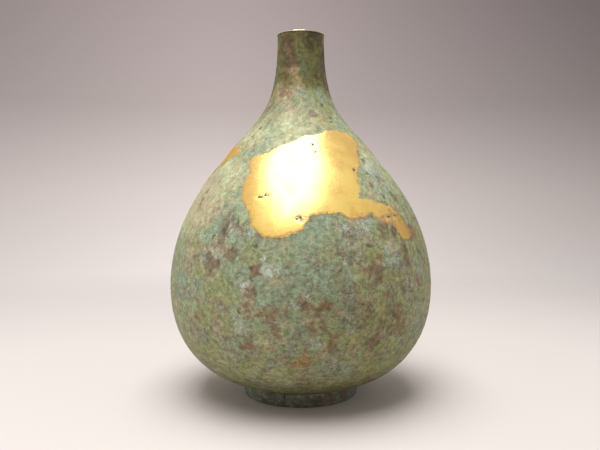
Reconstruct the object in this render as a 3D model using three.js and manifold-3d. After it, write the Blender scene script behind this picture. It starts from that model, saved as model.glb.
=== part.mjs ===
// Cast bronze bud vase with patches of gold leaf, standing on a soldered foot ring.
// Millimetres, +Z up, origin at the centre of the foot's underside, the front towards -Y.

import * as THREE from 'three';
import { mergeVertices } from 'three/addons/utils/BufferGeometryUtils.js';
import Module from 'manifold-3d';

const wasm = await Module();
wasm.setup();

// Sizes of the outline: diameters, heights above the standing surface, and slopes in degrees
const vaseHeight = 240;
const mouthDiameter = 31.5;
const shoulderDiameter = 103.7;
const shoulderHeight = 156.6;
const shoulderSlope = 54.1;
const bellyDiameter = 174.4;
const bellyHeight = 73.1;
const footDiameter = 77.8;
const footHeight = 9.4;
const footTaper = 0.8;
const undersideSlope = 11.8;

// How far each curve of the outline runs along its end direction before it bends away
const neckRun = 54.7;
const shoulderRunUp = 36.8;
const shoulderRunDown = 5.6;
const bellyRunUp = 48.3;
const bellyRunDown = 34.1;
const undersideRun = 29.9;

// Walls and the joint under the body
const wallThickness = 2.8;
const seatWidth = 8;
const solderFilm = 0.4;
const solderSetBack = 0.5;
const fitClearance = 0.3;
const footWall = 4.2;
const footChamfer = 0.5;
const ledgeThickness = 2.4;
const spigotWall = 3.2;
const spigotHeight = 2;
const plateThickness = 1.5;
const filletLeg = 1.5;

// The open butt seam of the foot ring
const seamAzimuth = -15;
const seamWidth = 1;
const seamDepth = 0.7;

// The gilt on the lip
const lipLeafHeight = 0.8;
const lipRound = 0.7;

// The gold patches: azimuths in degrees from the front, positive to the right as one faces it
const leafThickness = 0.4;
const leafClearance = 0.3;
const frontLeafAzimuth = 11;
const frontLeafHalfAngle = 46;
const frontLeafMidHeight = 140.5;
const frontLeafHalfHeight = 33.5;
const sideLeafAzimuth = -92;
const sideLeafHalfAngle = 42;
const sideLeafMidHeight = 152;
const sideLeafHalfHeight = 18;

// Fineness of the turned surfaces
const turnSegments = 60;
const neckSteps = 9;
const shoulderSteps = 9;
const bellySteps = 12;
const lipSteps = 3;
const prismSlices = 24;

// The outline of each patch, counter-clockwise, in shares of its half angle and half height
const frontLeafOutline = [
  [-1.00, 0.49], [-0.98, 0.34], [-0.91, 0.20], [-0.93, -0.04], [-0.87, -0.28], [-0.74, -0.50],
  [-0.72, -0.70], [-0.57, -0.90], [-0.39, -0.92], [-0.24, -0.76], [-0.13, -0.53], [0.09, -0.51],
  [0.26, -0.63], [0.48, -0.55], [0.57, -0.67], [0.72, -0.73], [0.80, -0.97], [0.93, -1.00],
  [1.00, -0.88], [0.93, -0.58], [0.78, -0.37], [0.61, -0.33], [0.39, -0.25], [0.46, -0.01],
  [0.50, 0.19], [0.65, 0.37], [0.78, 0.61], [0.98, 0.73], [0.96, 0.85], [0.85, 0.97],
  [0.54, 1.00], [0.28, 1.00], [0.13, 0.91], [-0.13, 0.88], [-0.52, 0.70], [-0.83, 0.55],
];
const sideLeafOutline = [
  [-1.00, 0.15], [-0.88, -0.25], [-0.66, -0.52], [-0.40, -0.94], [-0.08, -1.00], [0.22, -0.80],
  [0.50, -0.38], [0.74, -0.06], [0.88, 0.22], [0.95, 0.38], [1.00, 0.58], [0.86, 0.76],
  [0.60, 1.00], [0.26, 0.93], [-0.06, 1.00], [-0.38, 0.82], [-0.62, 0.88], [-0.84, 0.58],
];

// Places worked out from the sizes
const mouthRadius = mouthDiameter / 2;
const shoulderRadius = shoulderDiameter / 2;
const bellyRadius = bellyDiameter / 2;
const footRadius = footDiameter / 2;
const rimHeight = vaseHeight - lipLeafHeight;
const coreHoleRadius = footRadius - seatWidth;
const ringTop = footHeight - solderFilm;
const ledgeUnderside = ringTop - ledgeThickness;
const plateUnderside = ledgeUnderside - plateThickness;
const recessRadius = footRadius - footTaper - footWall;
const plateRadius = recessRadius - fitClearance;
const spigotRadius = coreHoleRadius - fitClearance;

function radians(degrees) {
  return THREE.MathUtils.degToRad(degrees);
}

// The outline of the body runs down from the rim to the foot's seat in three smooth curves
function outlineCurves() {
  const shoulderX = Math.cos(radians(shoulderSlope));
  const shoulderY = -Math.sin(radians(shoulderSlope));
  const undersideX = -Math.cos(radians(undersideSlope));
  const undersideY = -Math.sin(radians(undersideSlope));
  const rim = new THREE.Vector2(mouthRadius, rimHeight);
  const shoulder = new THREE.Vector2(shoulderRadius, shoulderHeight);
  const belly = new THREE.Vector2(bellyRadius, bellyHeight);
  const seat = new THREE.Vector2(footRadius, footHeight);
  const neckCurve = new THREE.CubicBezierCurve(
    rim,
    new THREE.Vector2(mouthRadius, rimHeight - neckRun),
    new THREE.Vector2(
      shoulderRadius - shoulderX * shoulderRunUp,
      shoulderHeight - shoulderY * shoulderRunUp,
    ),
    shoulder,
  );
  const shoulderCurve = new THREE.CubicBezierCurve(
    shoulder,
    new THREE.Vector2(
      shoulderRadius + shoulderX * shoulderRunDown,
      shoulderHeight + shoulderY * shoulderRunDown,
    ),
    new THREE.Vector2(bellyRadius, bellyHeight + bellyRunUp),
    belly,
  );
  const bellyCurve = new THREE.CubicBezierCurve(
    belly,
    new THREE.Vector2(bellyRadius, bellyHeight - bellyRunDown),
    new THREE.Vector2(
      footRadius - undersideX * undersideRun,
      footHeight - undersideY * undersideRun,
    ),
    seat,
  );
  return [
    { curve: neckCurve, steps: neckSteps },
    { curve: shoulderCurve, steps: shoulderSteps },
    { curve: bellyCurve, steps: bellySteps },
  ];
}

// Points down the outline, each moved outwards along its own normal
function outlinePoints(offset) {
  const points = [];
  for (const { curve, steps } of outlineCurves()) {
    for (let i = points.length ? 1 : 0; i <= steps; i += 1) {
      const point = curve.getPoint(i / steps);
      const along = curve.getTangent(i / steps);
      points.push(new THREE.Vector2(point.x - along.y * offset, point.y + along.x * offset));
    }
  }
  return points;
}

function radiusAt(height) {
  const points = outlinePoints(0);
  for (let i = 1; i < points.length; i += 1) {
    if (points[i].y <= height) {
      const share = (height - points[i].y) / (points[i - 1].y - points[i].y);
      return THREE.MathUtils.lerp(points[i].x, points[i - 1].x, share);
    }
  }
  return footRadius;
}

// A closed mesh becomes a solid that can be joined and cut, once its shared points are merged
function solidFrom(geometry) {
  geometry.deleteAttribute('normal');
  geometry.deleteAttribute('uv');
  const merged = mergeVertices(geometry);
  return new wasm.Manifold(new wasm.Mesh({
    numProp: 3,
    vertProperties: merged.attributes.position.array,
    triVerts: merged.index.array,
  }));
}

// A turned piece: its section closes on itself, up the outside and down the inside
function turned(section) {
  const geometry = new THREE.LatheGeometry([...section, section[0].clone()], turnSegments);
  geometry.rotateX(Math.PI / 2);
  return solidFrom(geometry);
}

function sectionFrom(corners) {
  return corners.map(([radius, height]) => new THREE.Vector2(radius, height));
}

// A skin that follows the body's outline between two offsets from it
function skin(outerOffset, innerOffset) {
  return turned([...outlinePoints(outerOffset).reverse(), ...outlinePoints(innerOffset)]);
}

// A patch's outline in degrees round the body and millimetres up it
function placedOutline(outline, azimuth, halfAngle, midHeight, halfHeight) {
  return outline.map(([across, up]) => new THREE.Vector2(
    azimuth + across * halfAngle,
    midHeight + up * halfHeight,
  ));
}

// The same outline with a margin all round, measured along the surface
function grownOutline(outline, margin) {
  return outline.map((corner, i) => {
    const before = outline[(i + outline.length - 1) % outline.length];
    const after = outline[(i + 1) % outline.length];
    const perDegree = radians(radiusAt(corner.y));
    const into = new THREE.Vector2((corner.x - before.x) * perDegree, corner.y - before.y).normalize();
    const outOf = new THREE.Vector2((after.x - corner.x) * perDegree, after.y - corner.y).normalize();
    const normal = new THREE.Vector2(into.y + outOf.y, -into.x - outOf.x).normalize();
    const reach = margin / Math.max(0.5, normal.x * into.y - normal.y * into.x);
    return new THREE.Vector2(
      corner.x + normal.x * reach / perDegree,
      corner.y + normal.y * reach,
    );
  });
}

// A prism of that outline that spreads along rays from the axis, from the hollow to past the belly
function patchPrism(outline) {
  const nearAxis = mouthRadius;
  const pastBelly = bellyRadius * 2;
  const geometry = new THREE.ExtrudeGeometry(new THREE.Shape(outline), {
    depth: 1,
    steps: prismSlices,
    bevelEnabled: false,
  });
  const position = geometry.attributes.position;
  for (let i = 0; i < position.count; i += 1) {
    const azimuth = radians(position.getX(i));
    const radius = THREE.MathUtils.lerp(nearAxis, pastBelly, position.getZ(i));
    const height = position.getY(i);
    position.setXYZ(i, radius * Math.sin(azimuth), -radius * Math.cos(azimuth), height);
  }
  return solidFrom(geometry);
}

function leafPatch(outline) {
  return skin(0, -leafThickness).intersect(patchPrism(outline));
}

// The shallow bed a patch lies in, flush with the bronze around it
function leafBed(outline) {
  const bedDepth = leafThickness + leafClearance;
  return skin(bedDepth, -bedDepth).intersect(patchPrism(grownOutline(outline, leafClearance)));
}

// Belly, shoulder, neck and mouth in one casting, with a core hole and a turned seat below
function vaseBody(frontOutline, sideOutline) {
  const outside = outlinePoints(0).reverse();
  const inside = outlinePoints(-wallThickness);
  inside[0].y = rimHeight;
  const floorTop = inside[inside.length - 1].y;
  const casting = turned([
    ...outside,
    ...inside,
    ...sectionFrom([[coreHoleRadius, floorTop], [coreHoleRadius, footHeight]]),
  ]);
  return casting.subtract(leafBed(frontOutline)).subtract(leafBed(sideOutline));
}

// A rounded ring of gilding over the rim, as wide as the wall
function lipLeaf() {
  const inner = mouthRadius - wallThickness;
  const corners = [[inner, rimHeight], [mouthRadius, rimHeight]];
  for (let i = 0; i <= lipSteps; i += 1) {
    const turn = radians(90 * i / lipSteps);
    corners.push([
      mouthRadius - lipRound + lipRound * Math.cos(turn),
      vaseHeight - lipRound + lipRound * Math.sin(turn),
    ]);
  }
  for (let i = 0; i <= lipSteps; i += 1) {
    const turn = radians(90 + 90 * i / lipSteps);
    corners.push([
      inner + lipRound + lipRound * Math.cos(turn),
      vaseHeight - lipRound + lipRound * Math.sin(turn),
    ]);
  }
  return turned(sectionFrom(corners));
}

// A thin vertical groove where the ends of the ring's strip meet
function footSeam() {
  const geometry = new THREE.CylinderGeometry(seamDepth, seamDepth, footHeight * 3, 4);
  geometry.scale(seamWidth / (2 * seamDepth), 1, 1);
  geometry.rotateX(Math.PI / 2);
  geometry.translate(0, -footRadius, 0);
  geometry.rotateZ(radians(seamAzimuth));
  return solidFrom(geometry);
}

// A tapered ring with a ledge for the base plate and a spigot that centres it in the core hole
function footRing() {
  const underside = footRadius - footTaper;
  const spigotInner = spigotRadius - spigotWall;
  const ring = turned(sectionFrom([
    [underside - footChamfer, 0],
    [underside, footChamfer],
    [footRadius, ringTop],
    [spigotRadius, ringTop],
    [spigotRadius, ringTop + spigotHeight],
    [spigotInner, ringTop + spigotHeight],
    [spigotInner, ledgeUnderside],
    [recessRadius, ledgeUnderside],
    [recessRadius, footChamfer],
    [recessRadius + footChamfer, 0],
  ]));
  return ring.subtract(footSeam());
}

// The film of solder in the joint, set back so that the joint shows as a fine dark line
function footSolder() {
  return turned(sectionFrom([
    [coreHoleRadius, ringTop],
    [footRadius - solderSetBack, ringTop],
    [footRadius - solderSetBack, footHeight],
    [coreHoleRadius, footHeight],
  ]));
}

// The disc that closes the core hole, let in from below against the ledge
function basePlate() {
  const geometry = new THREE.CylinderGeometry(plateRadius, plateRadius, plateThickness, turnSegments);
  geometry.rotateX(Math.PI / 2);
  geometry.translate(0, 0, plateUnderside + plateThickness / 2);
  return solidFrom(geometry);
}

// The bead of solder run round the edge of the plate
function baseSolder() {
  return turned(sectionFrom([
    [plateRadius - filletLeg, plateUnderside],
    [plateRadius, plateUnderside - filletLeg],
    [plateRadius, plateUnderside],
  ]));
}

function patinatedBronze() {
  return new THREE.MeshStandardMaterial({ color: 0x7f8c72, roughness: 0.8, metalness: 0.2 });
}

function darkBronze() {
  return new THREE.MeshStandardMaterial({ color: 0x565a48, roughness: 0.7, metalness: 0.4 });
}

function agedSolder() {
  return new THREE.MeshStandardMaterial({ color: 0x6d6a60, roughness: 0.6, metalness: 0.5 });
}

function goldLeaf() {
  return new THREE.MeshStandardMaterial({ color: 0xe2b14e, roughness: 0.3, metalness: 1 });
}

function piece(name, solid, material) {
  const { vertProperties, triVerts } = solid.getMesh();
  const geometry = new THREE.BufferGeometry();
  geometry.setAttribute('position', new THREE.BufferAttribute(vertProperties, 3));
  geometry.setIndex(new THREE.BufferAttribute(triVerts, 1));
  geometry.computeVertexNormals();
  const mesh = new THREE.Mesh(geometry, material);
  mesh.name = name;
  return mesh;
}

const frontOutline = placedOutline(
  frontLeafOutline, frontLeafAzimuth, frontLeafHalfAngle, frontLeafMidHeight, frontLeafHalfHeight,
);
const sideOutline = placedOutline(
  sideLeafOutline, sideLeafAzimuth, sideLeafHalfAngle, sideLeafMidHeight, sideLeafHalfHeight,
);

const vase = new THREE.Group();
vase.add(
  piece('vase_body', vaseBody(frontOutline, sideOutline), patinatedBronze()),
  piece('foot_ring', footRing(), darkBronze()),
  piece('foot_solder', footSolder(), agedSolder()),
  piece('base_plate', basePlate(), darkBronze()),
  piece('base_solder', baseSolder(), agedSolder()),
  piece('lip_leaf', lipLeaf(), goldLeaf()),
  piece('front_leaf', leafPatch(frontOutline), goldLeaf()),
  piece('side_leaf', leafPatch(sideOutline), goldLeaf()),
);

export default vase;
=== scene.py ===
# %% [markdown]
# A small bronze vase for a single stem: one hollow casting with a low round belly and a thin
# neck, a foot ring soldered under it, and patches of gold leaf laid over a thick, many-coloured
# patina. The measured model arrives first, as a fixed frame. Everything below is made around it,
# in metres, with the front towards -Y.

# %% Load the measured model
import math

import bpy
import numpy as np
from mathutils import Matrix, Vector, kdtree


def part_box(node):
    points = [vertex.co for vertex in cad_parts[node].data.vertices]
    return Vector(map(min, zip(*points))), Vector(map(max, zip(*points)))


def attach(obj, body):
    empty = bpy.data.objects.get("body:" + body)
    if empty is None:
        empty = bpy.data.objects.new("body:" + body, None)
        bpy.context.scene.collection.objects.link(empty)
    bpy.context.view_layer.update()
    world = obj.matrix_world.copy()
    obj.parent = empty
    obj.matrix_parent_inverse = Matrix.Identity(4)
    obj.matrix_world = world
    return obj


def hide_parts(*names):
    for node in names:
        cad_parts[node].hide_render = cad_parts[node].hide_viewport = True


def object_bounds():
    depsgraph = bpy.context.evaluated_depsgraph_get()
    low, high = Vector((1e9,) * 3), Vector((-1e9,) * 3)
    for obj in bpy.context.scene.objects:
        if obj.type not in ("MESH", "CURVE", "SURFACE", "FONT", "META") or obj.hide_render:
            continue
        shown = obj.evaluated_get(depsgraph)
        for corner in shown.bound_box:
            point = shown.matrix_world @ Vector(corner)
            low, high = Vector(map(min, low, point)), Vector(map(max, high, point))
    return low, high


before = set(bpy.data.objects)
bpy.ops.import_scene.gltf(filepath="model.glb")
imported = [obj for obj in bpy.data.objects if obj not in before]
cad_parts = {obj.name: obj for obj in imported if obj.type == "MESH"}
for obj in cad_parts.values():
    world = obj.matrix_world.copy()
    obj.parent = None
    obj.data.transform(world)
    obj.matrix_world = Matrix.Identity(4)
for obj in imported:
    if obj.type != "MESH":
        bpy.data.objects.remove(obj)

MM = 0.001
cad_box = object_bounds()
print("nodes:", sorted(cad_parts))
print("measured box in mm:", [[round(c / MM, 2) for c in corner] for corner in cad_box])

# %% [markdown]
# The camera stands close to the table and looks slightly down, as one looks at a vase in a
# niche. Its height, distance and focal length were worked out from the outline of the vase: the
# upright centre line gives the tilt, and the ellipses of mouth and foot give the distance.

# %% The camera
picture_width = 600
focal_length_in_pixels = 640.4
sensor_width = 36
camera_place = (-0.5 * MM, -433.3 * MM, 135.5 * MM)
camera_tilt_down = 2.95

camera_data = bpy.data.cameras.new("camera")
camera_data.sensor_width = sensor_width
camera_data.lens = sensor_width * focal_length_in_pixels / picture_width
camera = bpy.data.objects.new("camera", camera_data)
camera.location = camera_place
camera.rotation_euler = (math.radians(90 - camera_tilt_down), 0, 0)
bpy.context.scene.collection.objects.link(camera)
bpy.context.scene.camera = camera
bpy.context.scene.view_settings.view_transform = "Standard"
print("lens:", round(camera_data.lens, 2), "mm")

# %% [markdown]
# Materials and lights are graphs of nodes, which are long-winded to write out. A few small helpers
# keep them readable: they add nodes and fill their inputs, do sums, fade a value from 0 to 1, mix
# colours and read painted values. The last two start a material and put an object in the scene.

# %% Helpers for graphs, materials and objects
def fill(tree, socket, value):
    """Sets an input to a number or colour, or links it to another node's output."""
    if isinstance(value, bpy.types.NodeSocket):
        tree.links.new(value, socket)
    elif hasattr(value, "__len__") and len(value) == 3 and socket.type == "RGBA":
        socket.default_value = (*value, 1)
    else:
        socket.default_value = value


def add(tree, kind, inputs, **settings):
    """A new node, with its settings made and its inputs filled."""
    node = tree.nodes.new("ShaderNode" + kind)
    for name, value in settings.items():
        setattr(node, name, value)
    for name, value in inputs.items():
        fill(tree, node.inputs[name], value)
    return node


def maths(tree, operation, *values):
    return add(tree, "Math", dict(enumerate(values)), operation=operation).outputs[0]


def opposite(tree, value):
    """1 where a value is 0, and 0 where it is 1."""
    return maths(tree, "SUBTRACT", 1.0, value)


def weighted(tree, *pairs):
    """The sum of several (value, weight) pairs."""
    total = 0.0
    for value, weight in pairs:
        total = maths(tree, "MULTIPLY_ADD", value, weight, total)
    return total


def fade(tree, value, low, high):
    """0 at low, 1 at high, and a smooth slope between them."""
    inputs = {"Value": value, "From Min": low, "From Max": high}
    return add(tree, "MapRange", inputs, interpolation_type="SMOOTHSTEP").outputs[0]


def mix(tree, share, under, over, blend="MIX"):
    """One colour laid over another."""
    node = add(tree, "Mix", {0: share, 6: under, 7: over}, data_type="RGBA", blend_type=blend)
    return node.outputs[2]


def shade_of(tree, name):
    """A value that is painted on the mesh, or 0 where none of that name is."""
    return add(tree, "Attribute", {}, attribute_name=name).outputs["Fac"]


def own_places(tree):
    """Where each point lies on the piece itself, in metres."""
    return add(tree, "TexCoord", {}).outputs["Object"]


def seen_directly(tree):
    """1 for the rays of the camera and of mirrors and glass, 0 for light that scatters."""
    ray = add(tree, "LightPath", {}).outputs
    mirrored = maths(tree, "MAXIMUM", ray["Is Glossy Ray"], ray["Is Transmission Ray"])
    return maths(tree, "MAXIMUM", ray["Is Camera Ray"], mirrored)


def new_material(name, with_shader=True):
    """A material and its graph, which holds the standard shader or starts empty."""
    material = bpy.data.materials.new(name)
    material.use_nodes = True
    if not with_shader:
        material.node_tree.nodes.clear()
    return material, material.node_tree


def put_in_scene(name, mesh):
    thing = bpy.data.objects.new(name, mesh)
    bpy.context.scene.collection.objects.link(thing)
    return thing


# %% [markdown]
# The light is one wide soft panel hung over the table, a little towards the camera. A polished
# surface tells its shape: the bright area on the gold is a mirror image of the panel, so its
# corners were found by following the view rays from the edges of that area up to the ceiling.
# A lamp made as a glowing panel gives the same reflection and the soft shadow under the belly.

# %% The panel overhead
panel_height = 1200 * MM
panel_corners_mm = [
    (-490, 265), (-510, -530), (-430, -1080), (-275, -1080), (200, -725), (330, -470), (330, 265),
]
panel_strength = 6.4


def glowing_panel(name, corners, strength):
    """A flat lamp: seen in reflections, and never by the camera itself."""
    mesh = bpy.data.meshes.new(name)
    mesh.from_pydata(corners, [], [range(len(corners))])
    material, tree = new_material(name, with_shader=False)
    light = add(tree, "Emission", {"Color": (1, 1, 1), "Strength": strength})
    add(tree, "OutputMaterial", {"Surface": light.outputs[0]})
    mesh.materials.append(material)
    panel = put_in_scene(name, mesh)
    panel.visible_camera = False
    print(name, "has", len(corners), "corners")


panel_corners = [(x * MM, y * MM, panel_height) for x, y in panel_corners_mm]
glowing_panel("panel_overhead", panel_corners, panel_strength)

# %% [markdown]
# The room around the vase has two sides. The camera and mirror rays see a pale sweep that is
# nearly white at the table, greyer upwards and paler again overhead. It loses light towards both
# sides, as a paper backdrop does, up to the pale walls that close the room. Its steps are given by
# how steeply a ray climbs, from -1 straight down to 1 straight up.

# %% The sweep that is seen
sweep = [
    (-0.30, (0.95, 0.86, 0.82)),
    (-0.12, (0.90, 0.82, 0.785)),
    (0.00, (0.77, 0.68, 0.65)),
    (0.13, (0.52, 0.445, 0.43)),
    (0.28, (0.44, 0.365, 0.36)),
    (0.45, (0.68, 0.65, 0.62)),
    (0.65, (0.80, 0.77, 0.73)),
    (1.00, (0.85, 0.82, 0.78)),
]
sweep_low, sweep_high = -0.3, 1.0
sweep_centre, sweep_softness = -0.12, 0.06
sweep_falloff, falloff_rise, sweep_darkest = 0.9, 1.6, 0.4
overhead_from, overhead_to = 0.3, 0.5
wall_from, wall_to = 0.6, 0.85

world = bpy.data.worlds.new("room")
bpy.context.scene.world = world
world.use_nodes = True
room = world.node_tree
room.nodes.clear()
toward = add(room, "SeparateXYZ", {0: add(room, "TexCoord", {}).outputs["Generated"]}).outputs
up = add(room, "MapRange", {"Value": toward["Z"], "From Min": sweep_low, "From Max": sweep_high})
ramp = add(room, "ValToRGB", {"Fac": up.outputs[0]})
while len(ramp.color_ramp.elements) < len(sweep):
    ramp.color_ramp.elements.new(0.5)
for stop, (level, colour) in zip(ramp.color_ramp.elements, sweep):
    stop.position = (level - sweep_low) / (sweep_high - sweep_low)
for stop, (level, colour) in zip(ramp.color_ramp.elements, sweep):
    stop.color = (*colour, 1)

off_centre = maths(room, "SUBTRACT", toward["X"], sweep_centre)
softened = maths(room, "MULTIPLY_ADD", off_centre, off_centre, sweep_softness ** 2)
aside = maths(room, "SUBTRACT", maths(room, "SQRT", softened), sweep_softness)
steepness = maths(room, "MULTIPLY_ADD", toward["Z"], falloff_rise, sweep_falloff)
light_left = opposite(room, maths(room, "MULTIPLY", aside, steepness))
overhead = fade(room, toward["Z"], overhead_from, overhead_to)
sideways = maths(room, "ABSOLUTE", toward["X"])
side_level = maths(room, "MAXIMUM", maths(room, "MAXIMUM", light_left, sweep_darkest), overhead)
side_level = maths(room, "MAXIMUM", side_level, fade(room, sideways, wall_from, wall_to))
seen = add(room, "Background", {"Color": ramp.outputs[0], "Strength": side_level})
print("steps in the sweep:", len(sweep))

# %% [markdown]
# Light that scatters meets a soft warm glow instead. It has one level all round. Low down it is
# stronger, most of all towards the backdrop and at the left. Both flanks add a little, and the
# front takes some away, because the camera's side of the room is dim.

# %% The glow that lights
glow_colour = (1.0, 0.97, 0.905)
room_level = 0.37
table_level, low_until, low_ends = 0.5, 0.15, 0.4
backdrop_level, backdrop_from, backdrop_to = 0.25, -0.2, 0.4
left_level, left_from, left_to = 0.6, -0.2, -0.9
front_level, front_from, front_to = -0.2, -0.1, -0.7
flank_level, flank_from, flank_to = 0.2, 0.3, 0.9

to_the_backdrop = fade(room, toward["Y"], backdrop_from, backdrop_to)
to_the_left = fade(room, toward["X"], left_from, left_to)
to_the_front = fade(room, toward["Y"], front_from, front_to)
to_a_flank = fade(room, sideways, flank_from, flank_to)
low_down = opposite(room, fade(room, toward["Z"], low_until, low_ends))
low_glow = weighted(room, (1.0, table_level), (to_the_backdrop, backdrop_level), (to_the_left, left_level))
glow = weighted(
    room, (low_glow, low_down), (1.0, room_level), (to_the_front, front_level), (to_a_flank, flank_level),
)
even = add(room, "Background", {"Color": glow_colour, "Strength": glow})
shown = add(room, "MixShader", {0: seen_directly(room), 1: even.outputs[0], 2: seen.outputs[0]})
add(room, "OutputWorld", {0: shown.outputs[0]})
print("room level:", room_level)

# %% [markdown]
# The floor is a pale disc that takes the shadow of the vase. For the camera it thins out with the
# distance, so that it melts into the sweep behind it and has no edge, and from below it is clear.
# Scattered light still meets all of it, so the underside of the belly gets its warm glow back.

# %% The floor
floor_radius = 1.6
floor_corners = 96
floor_colour = (0.69, 0.632, 0.613)
floor_fades_from, floor_fades_to = 0.22, 0.75

turns = np.linspace(0, 2 * math.pi, floor_corners, endpoint=False)
floor_rim = [(floor_radius * math.cos(a), floor_radius * math.sin(a), 0.0) for a in turns]
floor_mesh = bpy.data.meshes.new("floor")
floor_mesh.from_pydata(floor_rim, [], [range(floor_corners)])
floor = put_in_scene("floor", floor_mesh)

paper, tree = new_material("paper", with_shader=False)
from_the_vase = add(tree, "VectorMath", {0: own_places(tree)}, operation="LENGTH").outputs["Value"]
from_below = add(tree, "NewGeometry", {}).outputs["Backfacing"]
gone = maths(tree, "MAXIMUM", fade(tree, from_the_vase, floor_fades_from, floor_fades_to), from_below)
share = maths(tree, "MULTIPLY", gone, seen_directly(tree))
matt = add(tree, "BsdfDiffuse", {"Color": floor_colour})
clear = add(tree, "BsdfTransparent", {})
surface = add(tree, "MixShader", {0: share, 1: matt.outputs[0], 2: clear.outputs[0]})
add(tree, "OutputMaterial", {"Surface": surface.outputs[0]})
floor_mesh.materials.append(paper)
print("floor radius:", floor_radius, "m")

# %% [markdown]
# Every piece but the gold patches is turned round one axis, so it is its section that matters. The
# frame holds coarse, faceted pieces whose corners lie exactly on the true outline. The section is
# read from the column of corners behind the axis, where no bed is cut into the wall, and is walked
# once round from the highest, outermost corner, down the outside first.

# %% Reading a section
on_the_plane = 0.02
corner_angle = 35


def section_of(node):
    """The closed section of a turned piece in mm, as corners of (radius, height)."""
    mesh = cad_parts[node].data
    places = [tuple(np.round(np.array(v.co) / MM, 2).tolist()) for v in mesh.vertices]
    links = {}
    for edge in mesh.edges:
        a, b = (places[i] for i in edge.vertices)
        if a == b or max(abs(a[0]), abs(b[0])) > on_the_plane or min(a[1], b[1]) <= 0:
            continue
        links.setdefault(a[1:], set()).add(b[1:])
        links.setdefault(b[1:], set()).add(a[1:])
    start = max(links, key=lambda corner: (corner[1], corner[0]))
    loop = [start, min(links[start], key=lambda corner: corner[1])]
    while loop[-1] != start:
        loop.append((links[loop[-1]] - {loop[-2]}).pop())
    return np.array(loop[:-1])


def runs_of(loop):
    """The section split at its sharp corners into smooth runs."""
    steps = np.roll(loop, -1, 0) - loop
    heading = np.degrees(np.arctan2(steps[:, 1], steps[:, 0]))
    turn = abs((heading - np.roll(heading, 1) + 180) % 360 - 180)
    corners = np.flatnonzero(turn > corner_angle)
    loop = np.roll(loop, -corners[0], 0)
    ends = list(corners - corners[0]) + [len(loop)]
    closed = np.vstack([loop, loop[:1]])
    return [closed[a:b + 1] for a, b in zip(ends, ends[1:])]


body_section = section_of("vase_body")
body_runs = runs_of(body_section)
print("body section:", len(body_section), "corners in", len(body_runs), "runs")

# %% [markdown]
# A polished patch shows every kink in a curve, so the corners are joined by a cubic spline, whose
# bend changes without a jump. It needs one small set of linear equations. The points on it lie as
# close together as the detail there asks, and each sharp corner gets a small round that catches
# the light.

# %% From corners to a fine section
def spline_through(points):
    """A function from the distance along the corners to a place on the spline, and its length."""
    along = np.concatenate([[0], np.cumsum(np.linalg.norm(np.diff(points, axis=0), axis=1))])
    gap = np.diff(along)
    slope = np.diff(points, axis=0) / gap[:, None]
    count = len(points)
    matrix = np.eye(count)
    right = np.zeros((count, 2))
    if count > 2:
        matrix[0, 1] = matrix[-1, -2] = -1
    for i in range(1, count - 1):
        matrix[i, i - 1:i + 2] = gap[i - 1], 2 * (gap[i - 1] + gap[i]), gap[i]
        right[i] = 6 * (slope[i] - slope[i - 1])
    bend = np.linalg.solve(matrix, right) if count > 2 else right

    def at(distance):
        distance = np.atleast_1d(distance)
        i = np.clip(np.searchsorted(along, distance, side="right") - 1, 0, count - 2)
        b = ((distance - along[i]) / gap[i])[:, None]
        a = 1 - b
        curve = ((a ** 3 - a) * bend[i] + (b ** 3 - b) * bend[i + 1]) * (gap[i] ** 2 / 6)[:, None]
        return a * points[i] + b * points[i + 1] + curve

    return at, along[-1]


def fine_run(points, spacing):
    """Points along a run, as far apart as spacing(radius, height) says."""
    at, length = spline_through(points)
    stops = [0.0]
    while stops[-1] < length:
        stops.append(stops[-1] + spacing(*at(stops[-1])[0]))
    return at(np.array(stops) * length / stops[-1])


def fine_section(runs, spacings, rounding):
    """All runs in mm, joined by small rounds, and the number of the run that each row is in."""
    fine = [fine_run(run, spacing) for run, spacing in zip(runs, spacings)]
    rows, numbers = [], []
    for number, points in enumerate(fine):
        first, last = points[1] - points[0], points[-1] - points[-2]
        corner = points[-1].copy()
        points[0] += first / np.linalg.norm(first) * rounding
        points[-1] -= last / np.linalg.norm(last) * rounding
        following = fine[(number + 1) % len(fine)]
        ahead = following[1] - following[0]
        if number == len(fine) - 1:
            after = rows[0]
        else:
            after = corner + ahead / np.linalg.norm(ahead) * rounding
        rows.extend([*points, (points[-1] + 2 * corner + after) / 4])
        numbers.extend([number] * (len(points) + 1))
    return np.array(rows), np.array(numbers)


# %% [markdown]
# The body's section has five runs: the outside, the seat under it, the wall of the core hole, the
# inside and the rim of the mouth. Nobody looks closely at the inside, so its points may lie wide
# apart. They lie closest low on the outside, where the turning tool has left fine rings.

# %% The body's section
outer_run, inner_run = 0, 3
turned_below = 24
turned_spacing, wall_spacing = 0.75, 1.75
seat_spacing, inner_spacing, rim_spacing = 1.5, 7.0, 0.9
body_rounding = 0.25


def every(mm):
    """The same distance between points all along a run."""
    return lambda radius, height: mm


def outside_spacing(radius, height):
    return turned_spacing if height < turned_below else wall_spacing


body_spacings = [
    outside_spacing, every(seat_spacing), every(seat_spacing), every(inner_spacing), every(rim_spacing),
]
body_rows, body_run_of_row = fine_section(body_runs, body_spacings, body_rounding)
outer_rows = body_rows[body_run_of_row == outer_run]
print("body rows:", len(body_rows), "of them outside:", len(outer_rows))

# %% [markdown]
# A section becomes a skin when it is copied round the axis. The skin is kept as a grid of places
# and outward directions, so that unevenness can be added before any mesh exists.

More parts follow.
